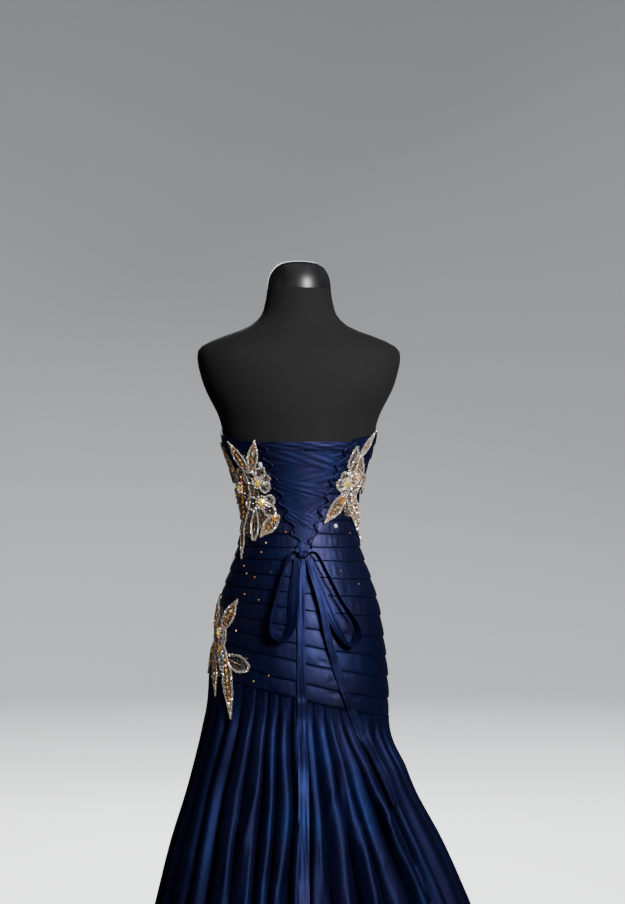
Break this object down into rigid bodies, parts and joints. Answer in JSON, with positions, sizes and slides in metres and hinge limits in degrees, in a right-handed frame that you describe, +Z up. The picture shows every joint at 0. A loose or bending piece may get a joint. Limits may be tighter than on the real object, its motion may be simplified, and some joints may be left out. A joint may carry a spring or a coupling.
{
  "type": "prom dress on a dress form",
  "caption": "Strapless pleated trumpet gown with a laced V back, ribbon bow, beaded appliques and a gathered flared skirt, on a limbless dress form with a round base.",
  "frame": {"origin": "on the floor, under the middle of the stand's round base", "axes": "+Z up, +Y out of the laced back, -Y out of the front, +X to the wearer's left side"},
  "size_m": [0.8291, 0.7634, 1.5765],
  "materials": {
    "taffeta": "crisp royal blue taffeta with a soft sheen",
    "ribbon": "royal blue taffeta ribbon with a soft sheen",
    "beading": "silver-white beads and clear, amber and iridescent stones on net",
    "form_cover": "black jersey",
    "form_hardware": "satin black enamel"
  },
  "bodies": {
    "root": {"form_torso": "form_cover", "form_neck_cap": "form_hardware", "stand_pole": "form_hardware", "stand_collar": "form_hardware", "stand_base": "form_hardware", "bodice_front": "taffeta", "bodice_back_left": "taffeta", "bodice_back_right": "taffeta", "skirt_front_left": "taffeta", "skirt_front_right": "taffeta", "skirt_back_left": "taffeta", "skirt_back_right": "taffeta", "modesty_panel": "taffeta", "lace_loops_left": "ribbon", "lace_loops_right": "ribbon", "lacing_top": "ribbon", "lacing_end_left": "ribbon", "lacing_end_right": "ribbon", "bow_knot": "ribbon", "bow_loop_left": "ribbon", "bow_loop_right": "ribbon", "bow_tail_left": "ribbon", "bow_tail_right": "ribbon", "applique_back_left": "beading", "applique_back_right": "beading", "applique_hip": "beading", "lacing_left_1": "ribbon", "lacing_left_2": "ribbon", "lacing_left_3": "ribbon", "lacing_left_4": "ribbon", "lacing_left_5": "ribbon", "lacing_left_6": "ribbon", "lacing_right_1": "ribbon", "lacing_right_2": "ribbon", "lacing_right_3": "ribbon", "lacing_right_4": "ribbon", "lacing_right_5": "ribbon", "lacing_right_6": "ribbon"}
  },
  "joints": []
}
